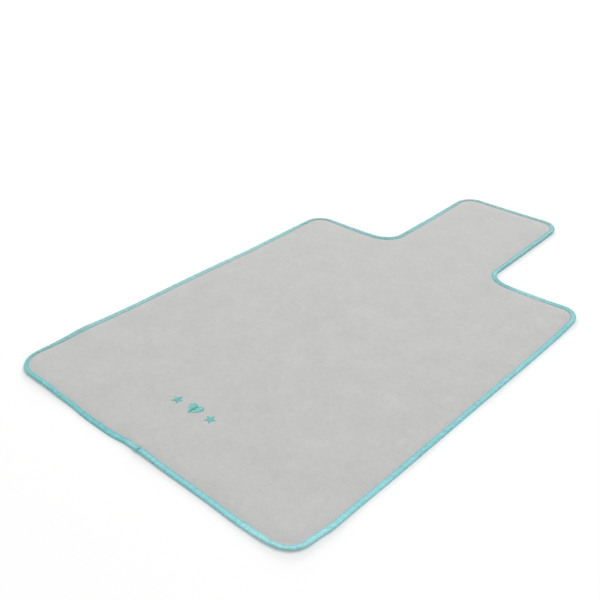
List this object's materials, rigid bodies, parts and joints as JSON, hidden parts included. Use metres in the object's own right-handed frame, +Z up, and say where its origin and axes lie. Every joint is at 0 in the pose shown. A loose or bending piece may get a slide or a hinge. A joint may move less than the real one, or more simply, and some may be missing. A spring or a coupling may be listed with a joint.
{
  "type": "changing pad",
  "caption": "Thin flat baby changing mat: a rounded rectangle of layered cloth with a narrower tab on one short side that folds over onto it, bound all round in satin tape.",
  "frame": {"origin": "on the surface that the pad lies on, under the middle of its outline's bounding box", "axes": "+Z up from the surface; +Y along the pad, from its front edge to the tip of the tab; +X across the pad"},
  "size_m": [0.5, 0.8486, 0.0052],
  "materials": {
    "velour_cover": "light grey brushed polyester velour, short soft pile, faintly cloudy",
    "satin_binding": "turquoise polyester satin bias tape, soft sheen along the fold",
    "binding_thread": "turquoise polyester sewing thread, lockstitch",
    "embroidery_thread": "turquoise rayon embroidery thread, satin stitch",
    "stabiliser": "white non-woven tear-away backing",
    "wadding": "white needle-punched absorbent polyester wadding",
    "waterproof_film": "translucent white polyurethane film",
    "base_cloth": "grey plain-woven polyester"
  },
  "bodies": {
    "pad": {"base_cloth_pad": "base_cloth", "waterproof_film_pad": "waterproof_film", "wadding_pad": "wadding", "embroidery_stabiliser": "stabiliser", "top_cover_pad": "velour_cover", "edge_binding_pad": "satin_binding", "binding_lap": "satin_binding", "binding_stitching_pad": "binding_thread", "motif_heart": "embroidery_thread", "motif_star_left": "embroidery_thread", "motif_star_right": "embroidery_thread"},
    "tab": {"base_cloth_tab": "base_cloth", "waterproof_film_tab": "waterproof_film", "wadding_tab": "wadding", "top_cover_tab": "velour_cover", "edge_binding_tab": "satin_binding", "binding_stitching_tab": "binding_thread"}
  },
  "joints": [
    {"name": "tab_fold", "type": "hinge", "parent": "pad", "child": "tab", "pos_m": [0, 0.21632, 0.0055], "axis": [1, 0, 0], "range_deg": [0, 178]}
  ]
}
